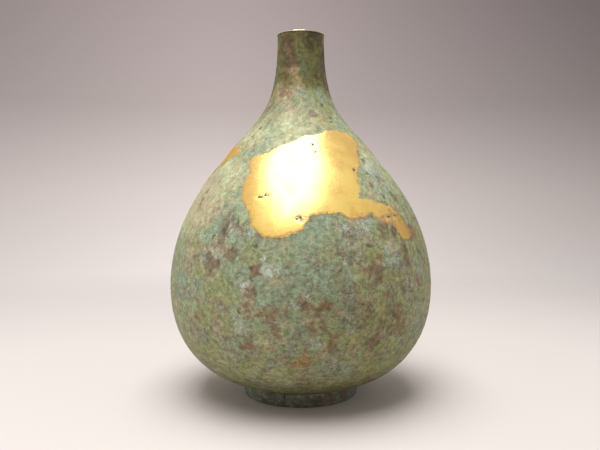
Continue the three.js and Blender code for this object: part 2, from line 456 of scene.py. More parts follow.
# %% From a section to a skin
class Skin:
    """A closed turned skin: one row for each point of the section, one column for each step round."""

    def __init__(self, rows, columns):
        along = np.roll(rows, -1, 0) - np.roll(rows, 1, 0)
        normal = np.stack([-along[:, 1], along[:, 0]], 1)
        normal /= np.linalg.norm(normal, axis=1)[:, None]
        azimuth = np.linspace(-math.pi, math.pi, columns, endpoint=False)
        around = np.stack([np.sin(azimuth), -np.cos(azimuth)], 1)
        self.rows, self.azimuth = rows, azimuth
        self.places = self.spread(rows, around) * MM
        self.normals = self.spread(normal, around)
        self.steps = np.linalg.norm(np.roll(rows, -1, 0) - rows, axis=1)
        self.along = np.cumsum(self.steps) - self.steps[0]
        self.azimuths = np.degrees(np.broadcast_to(azimuth, self.places.shape[:2]))
        self.heights = np.broadcast_to(rows[:, 1:2], self.places.shape[:2])

    @staticmethod
    def spread(pairs, around):
        """Copies pairs of (outward, upward) numbers round the axis."""
        flat = pairs[:, None, :1] * around[None]
        upright = np.broadcast_to(pairs[:, None, 1:], (*flat.shape[:2], 1))
        return np.concatenate([flat, upright], 2)

    def raised(self, mm):
        return self.places + self.normals * (mm * MM)[..., None]

    def faces(self):
        rows, columns = self.places.shape[:2]
        i, j = np.meshgrid(np.arange(rows), np.arange(columns), indexing="ij")
        below, beside = (i + 1) % rows, (j + 1) % columns
        corners = [i * columns + j, below * columns + j, below * columns + beside, i * columns + beside]
        return np.stack(corners, -1).reshape(-1, 4)


def turned_skin(node, spacing, rounding, columns):
    """The skin of a whole piece, with its points the same distance apart all along the section."""
    runs = runs_of(section_of(node))
    rows, _ = fine_section(runs, [every(spacing)] * len(runs), rounding)
    return Skin(rows, columns)


body = Skin(body_rows, columns=330)
outside = np.broadcast_to((body_run_of_row == outer_run)[:, None], body.heights.shape)
print("body skin:", body.places.shape[:2], "rows and columns")

# %% [markdown]
# Every piece is made the same way from its places and faces: a smooth-shaded mesh that keeps its
# sharp edges, rides with the vase and stands for its coarse twin in the frame. Values painted on
# its corners later tell the material where something special shows. A turned piece also gets a map
# of its own that unrolls it once round, so that a bake keeps the fine grain.

# %% Making, painting and unrolling a piece
def make_object(name, places, faces, material, nodes, sharp=50):
    """A smooth-shaded mesh object that stands for the given nodes of the frame."""
    mesh = bpy.data.meshes.new(name)
    mesh.from_pydata(places.reshape(-1, 3).tolist(), [], [list(f) for f in faces])
    mesh.materials.append(material)
    mesh.shade_smooth()
    mesh.set_sharp_from_angle(angle=math.radians(sharp))
    thing = put_in_scene(name, mesh)
    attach(thing, "root")
    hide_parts(*nodes)
    print(name, "has", len(mesh.polygons), "faces")
    return thing


def paint(thing, **shades):
    """Keeps a value for each vertex under a name that the material can read."""
    for name, values in shades.items():
        layer = thing.data.attributes.new(name, "FLOAT", "POINT")
        layer.data.foreach_set("value", np.asarray(values, np.float32).ravel())


def unroll(thing, skin, weight_of_row):
    """Lays a turned skin flat, once round from left to right, as the map that a bake uses."""
    steps = skin.steps * weight_of_row
    v = 1 - np.concatenate([[0], np.cumsum(steps)]) / steps.sum()
    u = np.linspace(0, 1, len(skin.azimuth) + 1)
    i, j = np.meshgrid(np.arange(len(skin.rows)), np.arange(len(skin.azimuth)), indexing="ij")
    across = np.stack([u[j], u[j], u[j + 1], u[j + 1]], -1)
    upward = np.stack([v[i], v[i + 1], v[i + 1], v[i]], -1)
    flat = thing.data.uv_layers.new(name="OFBake")
    flat.data.foreach_set("uv", np.stack([across, upward], -1).astype(np.float32).ravel())


# %% [markdown]
# Nothing on an old bronze is even, so most of what follows starts from smooth random noise. A
# lattice of random slopes, blended across each cell, gives bumps of one size. Adding finer and
# weaker copies gives the broken look of a corroded surface. A seed makes it repeatable.

# %% Seeded noise
lattice_size = 256
full_range = 1.7
fray_size = 5


def bumps(points, seed):
    """Smooth noise from about -1 to 1, with features one unit wide."""
    random = np.random.default_rng(seed)
    order = random.permutation(lattice_size)
    slopes = random.normal(size=(lattice_size, 3))
    slopes /= np.linalg.norm(slopes, axis=1)[:, None]
    cell = np.floor(points).astype(int)
    inside = points - cell
    blend = inside ** 3 * (inside * (inside * 6 - 15) + 10)
    total = np.zeros(points.shape[:-1])
    for corner in np.ndindex(2, 2, 2):
        index = order[(cell[..., 0] + corner[0]) % lattice_size]
        index = order[(index + cell[..., 1] + corner[1]) % lattice_size]
        index = order[(index + cell[..., 2] + corner[2]) % lattice_size]
        weight = np.prod(np.where(corner, blend, 1 - blend), -1)
        total += weight * ((inside - np.array(corner)) * slopes[index]).sum(-1)
    return total * full_range


def grain(points, size_mm, seed, octaves=3, roughness=0.55):
    """Several sizes of bumps added up, from size_mm downwards."""
    total, strength, reach = 0.0, 1.0, 0.0
    for octave in range(octaves):
        total = total + strength * bumps(points / (size_mm * MM) * 2 ** octave, seed + octave)
        reach += strength
        strength *= roughness
    return total / reach


def smooth_step(values, low, high):
    share = np.clip((values - low) / (high - low), 0, 1)
    return share * share * (3 - 2 * share)


body_fray = grain(body.places, fray_size, seed=11)
print("fray:", round(float(body_fray.min()), 2), "to", round(float(body_fray.max()), 2))

# %% [markdown]
# The gold leaf was laid in torn sheets over a thin lacquer ground. Each patch is an outline on
# the curved wall, given as shares of its half angle and half height. How deep a point lies inside
# the outline, in millimetres along the wall, decides everything else: where gold is, where its
# torn edge runs, and where the bronze under it was smoothed.

# %% The outlines of the gold patches
front_patch = {
    "azimuth": 11, "half_angle": 46, "mid_height": 140.5, "half_height": 33.5,
    "outline": [
        (-1.00, 0.49), (-0.98, 0.34), (-0.91, 0.20), (-0.93, -0.04), (-0.87, -0.28), (-0.74, -0.50),
        (-0.72, -0.70), (-0.57, -0.90), (-0.39, -0.92), (-0.24, -0.76), (-0.13, -0.53), (0.09, -0.51),
        (0.26, -0.63), (0.48, -0.55), (0.57, -0.67), (0.72, -0.73), (0.80, -0.97), (0.93, -1.00),
        (1.00, -0.88), (0.93, -0.58), (0.78, -0.37), (0.61, -0.33), (0.39, -0.25), (0.46, -0.01),
        (0.50, 0.19), (0.65, 0.37), (0.78, 0.61), (0.98, 0.73), (0.96, 0.85), (0.85, 0.97),
        (0.54, 1.00), (0.28, 1.00), (0.13, 0.91), (-0.13, 0.88), (-0.52, 0.70), (-0.83, 0.55),
    ],
}
side_patch = {
    "azimuth": -92, "half_angle": 42, "mid_height": 152, "half_height": 18,
    "outline": [
        (-1.00, 0.15), (-0.88, -0.25), (-0.66, -0.52), (-0.40, -0.94), (-0.08, -1.00), (0.22, -0.80),
        (0.44, -0.02), (0.62, 0.16), (0.78, 0.30), (0.92, 0.42), (1.00, 0.54), (0.86, 0.62),
        (0.60, 0.64), (0.38, 0.74), (0.20, 0.96), (-0.06, 1.00), (-0.38, 0.82), (-0.62, 0.88),
        (-0.84, 0.58),
    ],
}
heights_up, radii_up = outer_rows[::-1, 1], outer_rows[::-1, 0]


def wall_radius(height):
    """The outline's radius in mm at a height in mm."""
    return np.interp(height, heights_up, radii_up)


def on_a_round(radius, azimuth, height):
    """A place in metres, from a radius in mm, an azimuth in degrees and a height in mm."""
    angle = np.radians(azimuth)
    return np.stack([radius * np.sin(angle), -radius * np.cos(angle), height + 0 * angle], -1) * MM


def on_the_wall(azimuth, height):
    return on_a_round(wall_radius(height), azimuth, height)


def corners_of(patch):
    """The outline's corners as azimuths in degrees and heights in mm."""
    shares = np.array(patch["outline"])
    azimuth = patch["azimuth"] + shares[:, 0] * patch["half_angle"]
    return np.stack([azimuth, patch["mid_height"] + shares[:, 1] * patch["half_height"]], 1)


print("corners of the two patches:", len(corners_of(front_patch)), "and", len(corners_of(side_patch)))

# %% [markdown]
# Whether a point lies inside an outline is settled by counting the sides to its right: an odd
# number means inside. How far it is from the edge comes from a search tree that holds many points
# along the sides. The search is slow for a whole vase, so it is kept to the points near a patch.

# %% How deep a point lies inside a patch
steps_of_a_side = 16
never_level = 1e-9
far_outside = 8.0


def depth_inside(patch, azimuth, height):
    """How far inside a patch each point is, in mm along the wall: negative outside it."""
    corners = corners_of(patch)
    inside = np.zeros(azimuth.shape, bool)
    edge = kdtree.KDTree(len(corners) * steps_of_a_side)
    for number, (a, b) in enumerate(zip(corners, np.roll(corners, -1, 0))):
        crosses = (a[1] > height) != (b[1] > height)
        at = a[0] + (height - a[1]) / (b[1] - a[1] + never_level) * (b[0] - a[0])
        inside ^= crosses & (azimuth < at)
        for step in range(steps_of_a_side):
            here = a + (b - a) * step / steps_of_a_side
            edge.insert(on_the_wall(here[0], here[1]), number * steps_of_a_side + step)
    edge.balance()
    places = on_the_wall(azimuth, height).reshape(-1, 3)
    distance = np.array([edge.find(p)[2] for p in places]).reshape(azimuth.shape) / MM
    return np.where(inside, distance, -distance)


def near_patch(patch, azimuth, height):
    """The depth for the points near a patch, and a plain negative value for all others."""
    corners = corners_of(patch)
    reach = np.degrees(far_outside / wall_radius(height))
    close = (azimuth > corners[:, 0].min() - reach) & (azimuth < corners[:, 0].max() + reach)
    close &= height > corners[:, 1].min() - far_outside
    close &= height < corners[:, 1].max() + far_outside
    depth = np.full(azimuth.shape, -far_outside)
    depth[close] = depth_inside(patch, azimuth[close], height[close])
    return depth


under_gold = np.full(body.heights.shape, -far_outside)
for patch in (front_patch, side_patch):
    depth = near_patch(patch, body.azimuths, body.heights)
    under_gold = np.where(outside, np.maximum(under_gold, depth), under_gold)
print("share of the body under gold:", round(float((under_gold > 0).mean()), 3))

# %% [markdown]
# The patina has a few places that one remembers, on top of its all-over mottling: rust and dark
# metal on the neck, a brown arch left of the gold, orange spots low on the front, a bleached left
# flank. They are kept as short lists of azimuth in degrees, height in mm and radius in mm. Some
# lists end with marks on the back, so that it isn't left plain.

# %% The places that one remembers
remembered = {
    "brown": [
        (-34, 117, 4), (-33, 113, 4), (-34, 109, 3), (-31, 120, 3), (-27, 118, 2.5), (-26, 114, 2.5),
        (-37, 95, 5), (-39, 98, 3), (-36, 90, 3), (-60, 136, 2), (-60, 131, 2), (-59, 127, 1.5),
        (-28, 101, 4), (-17, 92, 4), (-19, 79, 4), (-20, 73, 3), (-20, 51, 3), (19, 113, 4),
        (58, 112, 4), (46, 160, 2.5), (47, 155, 2), (55, 133, 3), (41, 140, 2), (50, 143, 2),
        (38, 112, 5), (43, 112, 4), (48, 102, 4), (30, 90, 5), (4, 59, 4), (30, 51, 5),
        (13, 47, 3), (17, 185, 3), (-40, 233, 4), (-35, 227, 3), (-28, 222, 3), (-22, 218, 3),
        (49, 234, 4), (60, 110, 3), (61, 115, 2), (-76, 149, 3), (-80, 145, 3), (120, 95, 7), (127, 88, 4),
        (165, 62, 6), (-150, 112, 6), (-143, 104, 4), (-105, 70, 5), (150, 140, 4), (-172, 205, 5),
    ],
    "rust": [
        (-17, 91, 3), (-12, 69, 5), (-33, 73, 3), (2, 75, 4), (9, 73, 4), (36, 53, 4), (43, 58, 6),
        (41, 64, 4), (54, 84, 4), (47, 95, 4), (32, 99, 3), (-9, 58, 3), (12, 51, 3), (-20, 49, 3),
        (8, 62, 3), (35, 76, 4), (-40, 235, 3), (-34, 230, 3), (-29, 225, 3), (-24, 220, 3),
        (-19, 215, 3), (-35, 199, 3), (140, 72, 5), (146, 66, 3), (-122, 62, 5), (-165, 84, 4),
        (100, 58, 4), (-92, 100, 4), (178, 120, 3),
    ],
    "orange": [
        (1, 40, 5), (-2, 38, 3), (9, 47, 2), (-34, 62, 3), (60, 110, 4), (-20, 198, 2), (-8, 208, 2),
        (-17, 212, 2), (-21, 190, 1),
    ],
    "tan": [
        (-60, 130, 14), (-48, 122, 7), (-44, 127, 6), (-38, 103, 5), (-31, 102, 4), (-31, 115, 2),
        (-20, 79, 5), (-13, 52, 5), (38, 134, 3), (36, 131, 3), (52, 127, 3), (22, 119, 3),
        (9, 47, 4), (31, 55, 3), (27, 121, 4), (28, 111, 4), (40, 104, 4), (3, 66, 4), (-52, 98, 4),
        (27, 75, 4), (-17, 213, 4), (-8, 208, 4), (-2, 204, 3), (-22, 200, 4), (-30, 197, 5),
        (-22, 191, 3), (-14, 186, 3), (-50, 203, 5), (-42, 199, 4), (-41, 103, 3), (-29, 115, 2),
        (31, 93, 2), (24, 110, 2.5), (34, 108, 3),
    ],
    "teal": [
        (-39, 110, 5), (-40, 118, 4), (-36, 125, 5), (-34, 133, 4), (-17, 88, 5), (-20, 91, 4),
        (17, 84, 5), (3, 88, 9), (-8, 52, 6), (11, 40, 6), (47, 146, 6), (52, 138, 5), (42, 151, 4),
        (22, 99, 5), (-12, 81, 8), (4, 115, 9), (12, 80, 6), (2, 222, 3), (6, 217, 4), (12, 212, 3),
        (42, 200, 5), (-3, 199, 3), (14, 16, 4), (46, 15, 5), (-48, 15, 5),
    ],
    "pale": [
        (-12, 92, 4), (-9, 94, 4), (-14, 99, 2), (-36, 100, 2), (-24, 61, 4), (-25, 66, 3),
        (-22, 84, 3), (36, 97, 4), (36, 103, 5), (28, 117, 5), (18, 116, 4), (6, 52, 4), (-2, 74, 3),
        (3, 79, 3), (-46, 109, 2), (40, 97, 3), (-30, 112, 2), (46, 150, 3), (-20, 115, 3),
        (112, 98, 4), (132, 82, 3), (-140, 78, 4), (-158, 118, 4), (172, 54, 4), (95, 72, 3),
    ],
    "dark": [
        (-24, 69, 1.4), (-18, 105, 1.2), (-39, 109, 1.6), (-37, 103, 1.4), (18, 88, 1.3), (-8, 61, 1.4),
        (30, 91, 1.4), (-19, 94, 1.2), (28, 105, 1.3), (44, 111, 1.8), (49, 103, 1.4), (-50, 171, 1.5),
        (-33, 117, 1.8), (-34, 113, 1.8), (-28, 119, 1.3), (-40, 98, 1.6), (-38, 110, 1.2), (-38, 91, 1.6),
        (-47, 176, 1), (40, 183, 1.2), (35, 192, 1.2), (46, 161, 1.6), (47, 156, 1.6), (46, 133, 1.5),
        (43, 147, 1.5), (60, 109, 1.6), (37, 180, 1), (-44, 158, 1), (-49, 146, 1.2), (-52, 143, 1.2),
        (40, 112, 1.6), (15, 92, 1.5), (3, 67, 1.4),
    ],
    "bleach_and_sheen": [(-66, 130, 24), (-50, 120, 8)],
}
print("marks:", {name: len(marks) for name, marks in remembered.items()})

# %% [markdown]
# A mark is a soft spot on the wall. It is full in its middle, fades past its radius, and the noise
# pushes that fading in and out, so that no mark looks like a disc.

# %% Frayed spots
fray = 0.5


def spots(places, marks, frayed, surface=on_the_wall, full_within=0.4, gone_beyond=1.6):
    """1 in the middle of each mark, fading to 0 past its frayed edge."""
    field = np.zeros(places.shape[:-1])
    for azimuth, height, radius in marks:
        away = np.linalg.norm(places - surface(azimuth, height), axis=-1) / (radius * MM)
        spot = 1 - smooth_step(away + fray * frayed, full_within, gone_beyond)
        field = np.maximum(field, spot)
    return field


body_marks = {name: spots(body.places, marks, body_fray) * outside for name, marks in remembered.items()}
print("marked shares:", {name: round(float(field.mean()), 3) for name, field in body_marks.items()})

# %% [markdown]
# The casting is uneven at three scales: a slow swell over the whole wall, a crust a few
# millimetres wide that stands up or has flaked off, and small pits. Low on the belly the turning
# tool has left fine rings. Under the gold the wall was rubbed down smooth. All of it lies just
# inside the measured outline, so the vase keeps its size.

# %% The unevenness of the body
swell_mm, crust_mm, fine_crust_mm, ring_mm = 0.10, 0.15, 0.08, 0.06
mark_mm = {"pale": 0.08, "brown": -0.10, "dark": -0.22}
wall_level, just_inside = -0.36, -0.02
cavity_level, cavity_crust_mm = -0.1, 0.1
ring_pitch, ring_wander = 1.9, 2

swell = grain(body.places, 45, seed=21, octaves=2)
crust = grain(body.places, 8, seed=31, octaves=4, roughness=0.6)
fine_crust = grain(body.places, 3.6, seed=41, octaves=2)
rubbed_smooth = smooth_step(under_gold, -2.5, -0.3)
ring_zone = 1 - smooth_step(body.heights, 15, 24)
turned_rings = np.sin(body.along[:, None] * (2 * math.pi / ring_pitch) + ring_wander * body_fray)
lumps = crust_mm * crust + fine_crust_mm * fine_crust + ring_mm * ring_zone * turned_rings
for name, mm in mark_mm.items():
    lumps = lumps + mm * body_marks[name]
outer_relief = np.minimum(wall_level + swell_mm * swell + lumps * (1 - rubbed_smooth), just_inside)
in_the_cavity = (body_run_of_row == inner_run)[:, None]
hidden_relief = np.where(in_the_cavity, cavity_level + cavity_crust_mm * crust, just_inside)
relief = np.where(outside, outer_relief, hidden_relief)
print("relief of the body in mm:", round(float(relief.min()), 2), "to", round(float(relief.max()), 2))

# %% [markdown]
# All the finishes below draw on one kind of noise texture, whose three colour channels serve as
# three noises at the price of one. A noise turns into thin lines where it passes its middle level,
# and into level streaks where its height is squeezed. A bump lets a pattern shade the surface.

# %% Noise, lines, streaks and bump for the materials
channel_shift = 0.7
line_core = 0.3


def noise(tree, where, size_mm, detail, offset, roughness=0.6, warp=0.0):
    """A noise texture whose three colour channels are three unrelated noises."""
    shift = (offset, offset * channel_shift, -offset)
    moved = add(tree, "VectorMath", {0: where, 1: shift}, operation="ADD")
    inputs = {"Vector": moved.outputs[0], "Scale": 1 / (size_mm * MM), "Detail": detail}
    inputs.update({"Roughness": roughness, "Distortion": warp})
    texture = add(tree, "TexNoise", inputs)
    return add(tree, "SeparateColor", {0: texture.outputs["Color"]}).outputs


def thin_lines(tree, value, width):
    """1 along the lines where a noise passes its middle level, 0 elsewhere."""
    away = maths(tree, "ABSOLUTE", maths(tree, "SUBTRACT", value, 0.5))
    return opposite(tree, fade(tree, away, width * line_core, width))


def squeezed(tree, where, times):
    """Places in which a noise runs in level streaks, so many times as long as they are high."""
    return add(tree, "VectorMath", {0: where, 1: (1, 1, times)}, operation="MULTIPLY").outputs[0]


def bump(tree, shader, height, depth_mm, strength):
    inputs = {"Height": height, "Distance": depth_mm * MM, "Strength": strength}
    fill(tree, shader.inputs["Normal"], add(tree, "Bump", inputs).outputs[0])


# %% [markdown]
# Patina is not paint but a stack of mineral layers, so the material is built as one: a sage green
# ground that is bleached in places and paler on the shoulder, partly as a painted sheen, olive,
# moss green and blue-green tides over it, pinkish tan dust, then brown and rust where the crust
# has gone, orange spots, dark pits and a pale bloom on top. Each layer shows where a mix of two
# noises and the painted marks passes a level.

# %% The layers of a patina
wide_share, close_share = 0.62, 0.38
bleach_and_sheen_noise, bleach_and_sheen_level = 0.6, -0.3


def patina_layers(tree, colours, layers, broad, areas, flakes, crumbs):
    """The colour of all layers over the ground, and how much of each layer shows."""
    patterns = {
        "olive": (broad[0], flakes[0]), "moss": (areas[0], flakes[1]), "teal": (broad[1], areas[1]),
        "tan": (areas[2], flakes[2]), "brown": (areas[1], flakes[0]), "rust": (flakes[1], flakes[2]),
        "orange": (flakes[2], crumbs[1]), "dark": (areas[0], crumbs[2]), "pale": (areas[2], crumbs[1]),
    }
    painted = shade_of(tree, "bleach_and_sheen")
    bleached_and_sheen = weighted(tree, (painted, 1.0), (areas[0], bleach_and_sheen_noise), (1.0, bleach_and_sheen_level))
    colour = mix(tree, fade(tree, bleached_and_sheen, 0.0, 1.0), colours["ground"], colours["bleached_and_sheen"])
    shares = {}
    for layer, (level, softness, cover, strength) in layers.items():
        wide, close = patterns[layer]
        painted = shade_of(tree, layer)
        pattern = weighted(tree, (wide, wide_share), (close, close_share), (painted, strength))
        shown = fade(tree, pattern, level - softness, level + softness)
        shares[layer] = maths(tree, "MULTIPLY", shown, cover)
        colour = mix(tree, shares[layer], colour, colours[layer])
    return colour, shares


# For each layer: the level it shows above, how softly, how densely, and how much a mark adds
body_layers = {
    "olive": (0.50, 0.10, 0.75, 0.16), "moss": (0.53, 0.09, 0.70, 0.12),
    "teal": (0.51, 0.10, 0.80, 0.13), "tan": (0.57, 0.09, 0.60, 0.17),
    "brown": (0.59, 0.09, 0.75, 0.18), "rust": (0.63, 0.08, 0.75, 0.20),
    "orange": (0.71, 0.09, 0.75, 0.30), "dark": (0.65, 0.07, 0.80, 0.20),
    "pale": (0.66, 0.05, 0.68, 0.12),
}
print("patina layers:", len(body_layers))

# %% [markdown]
# Over the layers lie pale threads of bloom and fine dark cracks. A fine grain lightens and darkens
# everything, and is calmer on the bleached flank and on the shoulder's pale, partly painted sheen.
# Dark level lines show where the metal was turned. A brown tint darkens the neck as smoke, and as
# painted shade it darkens the base by the joint, the lower half and the shady right side. The
# inside is plain dark metal.

# %% What lies over the layers
bloom_of_marks, bloom_from, bloom_to = 0.35, 0.54, 0.74
thread_width, thread_cover = 0.035, 0.8
crack_width, crack_cover, cracked_from, cracked_to = 0.022, 0.3, 0.5, 0.65
tone_from, tone_to, calm_where_pale = 0.28, 0.72, 0.25
darkest_tone, lightest_tone = (0.38, 0.36, 0.33), (1.17, 1.19, 1.18)
line_length, line_size, line_cover, lines_from, lines_to = 7, 9, 0.5, 0.46, 0.58
smoke_and_shade_noise, smoke_and_shade_level = 0.8, -0.4


def threads_and_cracks(tree, colour, colours, areas, flakes, crumbs):
    """The colour with pale threads and dark cracks drawn on it, and where they are."""
    blooming = weighted(tree, (areas[1], 1.0), (shade_of(tree, "pale"), bloom_of_marks))
    bloom = fade(tree, blooming, bloom_from, bloom_to)
    threads = maths(tree, "MULTIPLY", thin_lines(tree, crumbs[2], thread_width), bloom)
    colour = mix(tree, maths(tree, "MULTIPLY", threads, thread_cover), colour, colours["pale"])
    cracked = fade(tree, flakes[1], cracked_from, cracked_to)
    cracks = maths(tree, "MULTIPLY", thin_lines(tree, areas[0], crack_width), cracked)
    colour = mix(tree, maths(tree, "MULTIPLY", cracks, crack_cover), colour, colours["dark"])
    return colour, threads, cracks


def toned(tree, colour, crumbs):
    """The colour lightened and darkened by the finest noise."""
    light = fade(tree, crumbs[0], tone_from, tone_to)
    calm = maths(tree, "MULTIPLY", shade_of(tree, "bleach_and_sheen"), calm_where_pale)
    light = maths(tree, "MULTIPLY_ADD", maths(tree, "SUBTRACT", 0.5, light), calm, light)
    return mix(tree, 1.0, colour, mix(tree, light, darkest_tone, lightest_tone), "MULTIPLY")


def turned_smoked_and_shaded(tree, colour, colours, where, areas):
    """The colour with the tool's lines, the smoke and painted shade, and the plain inside laid over it."""
    streaks = noise(tree, squeezed(tree, where, line_length), line_size, 3, 0.67)
    lines = maths(tree, "MULTIPLY", fade(tree, streaks[0], lines_from, lines_to), shade_of(tree, "turned"))
    colour = mix(tree, maths(tree, "MULTIPLY", lines, line_cover), colour, colours["dark"])
    # The brown tint is partly smoke and partly painted shade, low on the belly and on its shady side.
    smoke_and_shade_share = weighted(tree, (shade_of(tree, "smoke_and_shade"), 1.0), (areas[2], smoke_and_shade_noise), (1.0, smoke_and_shade_level))
    smoke_and_shade_tint = mix(tree, 1.0, colour, colours["smoke_and_shade"], "MULTIPLY")
    colour = mix(tree, fade(tree, smoke_and_shade_share, 0.0, 1.0), colour, smoke_and_shade_tint)
    return mix(tree, shade_of(tree, "inside"), colour, colours["inside"])


print("tones from", darkest_tone, "to", lightest_tone)

# %% [markdown]
# The material puts these steps together. They share four noises, from broad tides two centimetres
# wide down to crumbs. Brown and dark places are a little glossier than the mineral crust. The bump
# follows the same patterns as the colour, so that a flake has an edge.

# %% A material for patinated bronze
def patina_material(name, colours, layers, gloss):
    material, tree = new_material(name)
    shader = tree.nodes["Principled BSDF"]
    where = own_places(tree)
    broad = noise(tree, where, size_mm=22, detail=3, offset=0.31)
    areas = noise(tree, where, size_mm=11, detail=3, offset=0.57, roughness=0.50, warp=0.5)
    flakes = noise(tree, where, size_mm=5, detail=2, offset=0.83, roughness=0.50, warp=0.4)
    crumbs = noise(tree, where, size_mm=2.6, detail=5, offset=1.21, roughness=0.80, warp=0.3)
    colour, shares = patina_layers(tree, colours, layers, broad, areas, flakes, crumbs)
    colour, threads, cracks = threads_and_cracks(tree, colour, colours, areas, flakes, crumbs)
    colour = turned_smoked_and_shaded(tree, toned(tree, colour, crumbs), colours, where, areas)
    fill(tree, shader.inputs["Base Color"], colour)

    rough = weighted(tree, (shares["brown"], -0.14), (shares["dark"], -0.1), (crumbs[1], 0.2))
    fill(tree, shader.inputs["Roughness"], maths(tree, "ADD", rough, gloss))
    shader.inputs["Specular IOR Level"].default_value = 0.45
    height = weighted(
        tree, (crumbs[0], 1.0), (flakes[2], 0.8), (shares["pale"], 0.3), (threads, 0.25),
        (shares["brown"], -0.3), (shares["rust"], -0.15), (shares["dark"], -0.5), (cracks, -0.4),
    )
    bump(tree, shader, height, depth_mm=0.2, strength=0.9)
    return material


# The bleached colour also serves as a painted sheen of the overhead light on the shoulder.
body_colours = {
    "ground": (0.38, 0.42, 0.23), "olive": (0.32, 0.31, 0.12), "teal": (0.29, 0.37, 0.26),
    "moss": (0.28, 0.35, 0.14), "bleached_and_sheen": (0.575, 0.59, 0.35), "tan": (0.52, 0.40, 0.26),
    "brown": (0.19, 0.12, 0.07), "rust": (0.27, 0.15, 0.08), "orange": (0.44, 0.24, 0.09),
    "dark": (0.085, 0.07, 0.045), "pale": (0.61, 0.70, 0.61), "smoke_and_shade": (0.44, 0.39, 0.20),
    "inside": (0.12, 0.09, 0.06),
}
patinated_bronze = patina_material("patinated_bronze", body_colours, body_layers, gloss=0.52)
print("nodes in the patina:", len(patinated_bronze.node_tree.nodes))

# %% [markdown]
# Chance alone would spread the layers evenly, and a real vase has weather: it is darker where it
# was held, greener where water stood. So the wall is divided into soft zones, and a few of them
# also carry painted shade. Each is a field of values from 0 to 1, faded between two heights,
# between two azimuths, or around a place.

# %% Zones of the wall
def above(low, high):
    """0 below the height low in mm, 1 above the height high."""
    return smooth_step(body.heights, low, high)


def right_of(start, end):
    """0 left of the azimuth start in degrees, 1 right of the azimuth end."""
    return smooth_step(body.azimuths, start, end)


def around_place(azimuth, height, degrees, mm):
    """1 at a place on the wall, fading over so many degrees sideways and mm upwards."""
    return np.exp(-((body.azimuths - azimuth) / degrees) ** 2 - ((body.heights - height) / mm) ** 2)


neck = above(196, 216)
upper = above(110, 150) * (1 - neck)
low_belly = 1 - above(35, 75)
middle = around_place(2, 85, 40, 32)
on_the_right = right_of(10, 50) * (1 - right_of(80, 130))
below_the_corner = (1 - above(92, 101)) * (1 - low_belly)
spared = 0.55 * np.maximum(body_marks["tan"], body_marks["orange"])
spared = spared + 0.3 * body_marks["teal"] + 0.35 * body_marks["rust"]
zones = {
    "neck": neck,
    "dark_neck": (0.32 * above(168, 188) + 0.78 * above(195, 210)) * (1 - spared),
    "top_right": above(218, 228) * right_of(-5, 25),
    "neck_foot": above(172, 190),
    "upper": upper,
    "upper_left": upper * (1 - right_of(-45, -20)),
    # Painted sheen: the shoulder band is paler, partly bleaching and partly the sheen of the overhead
    # panel.
    "pale_and_sheen_shoulder": above(112, 160) * (1 - above(178, 204)),
    "shoulder_left": above(132, 150) * (1 - right_of(-32, -18)) * (1 - neck),
    "shoulder_right": above(152, 172) * right_of(5, 45) * (1 - neck),
    "smooth_flank": body_marks["bleach_and_sheen"] * (body_marks["brown"] < 0.2),
    "by_the_gold": around_place(50, 146, 9, 13),
    "under_the_gold": smooth_step(under_gold, 1.2, 2.0),
    "middle": middle,
    "on_the_right": on_the_right,
    "lower_right": on_the_right * (1 - upper),
    "olive_corner": right_of(13, 24) * (1 - right_of(40, 60)) * below_the_corner,
    # Painted shade: the lower belly from the front rightwards is darker, on the side away from the panel.
    "shaded_middle_and_right": right_of(-15, 10) * (1 - upper),
    "low_middle": around_place(16, 70, 36, 18),
    # Painted shade: the lower half is darker, where less of the overhead light falls.
    "shaded_lower_half": 1 - above(30, 75),
    "low_belly": low_belly,
    "low_sides": low_belly * (1 - middle),
    # Painted shade: the belly is darker where it meets the foot ring.
    "shade_by_the_joint": 1 - above(17, 26),
}
print("zones of the wall:", len(zones))

# %% [markdown]
# A table then says how much each zone adds to a layer or takes from it: blue-green in the middle
# of the belly, olive low down and to the right, brown and dark on the neck, hardly any of them on
# the pale shoulder, which is partly bleached and partly a painted sheen. Under the leaf the brown
# lacquer ground is painted, and shows in its pits.

# %% The tides of each layer
tides = {
    "olive": {
        "low_belly": 0.35, "lower_right": 0.4, "neck": 0.25, "neck_foot": 0.3, "upper": -0.3,
        "smooth_flank": -0.5, "olive_corner": 0.35, "shoulder_right": 0.25,
    },
    "moss": {
        "low_belly": 0.3, "upper": -0.3, "neck_foot": 0.1, "smooth_flank": -0.5, "shoulder_right": 0.2,
    },
    "teal": {
        "middle": 0.3, "upper": -0.3, "low_sides": -0.35, "on_the_right": -0.15, "smooth_flank": -0.5,
        "by_the_gold": 0.5, "olive_corner": -0.45,
    },
    "tan": {"upper_left": 0.12},
    "brown": {
        "neck": 0.2, "lower_right": 0.12, "upper": -0.25, "smooth_flank": -0.5, "olive_corner": 0.1,
        "under_the_gold": 2,
    },
    "rust": {"neck": 0.14, "low_belly": 0.08, "upper": -0.2, "smooth_flank": -0.5},
    "orange": {},
    "dark": {"neck": 0.25, "upper": -0.1, "smooth_flank": -0.5, "top_right": 0.45},
    "pale": {"upper": 0.08, "neck": -0.15, "by_the_gold": 0.3, "under_the_gold": -2},
    # Bleaching, and on the shoulder a painted sheen as well.
    "bleach_and_sheen": {"pale_and_sheen_shoulder": 1, "shoulder_right": -0.3},
    # Smoke on the neck, and painted shade by the joint, on the lower half and on the shady right side.
    "smoke_and_shade": {
        "dark_neck": 1, "shade_by_the_joint": 0.35, "shaded_lower_half": 0.25, "shaded_middle_and_right": 0.16,
        "low_middle": 0.2, "middle": 0.1, "shoulder_left": 0.14, "under_the_gold": 0.5,
    },
}
more_above = 0.6
weaker_marks = {"bleach_and_sheen": 0.8}

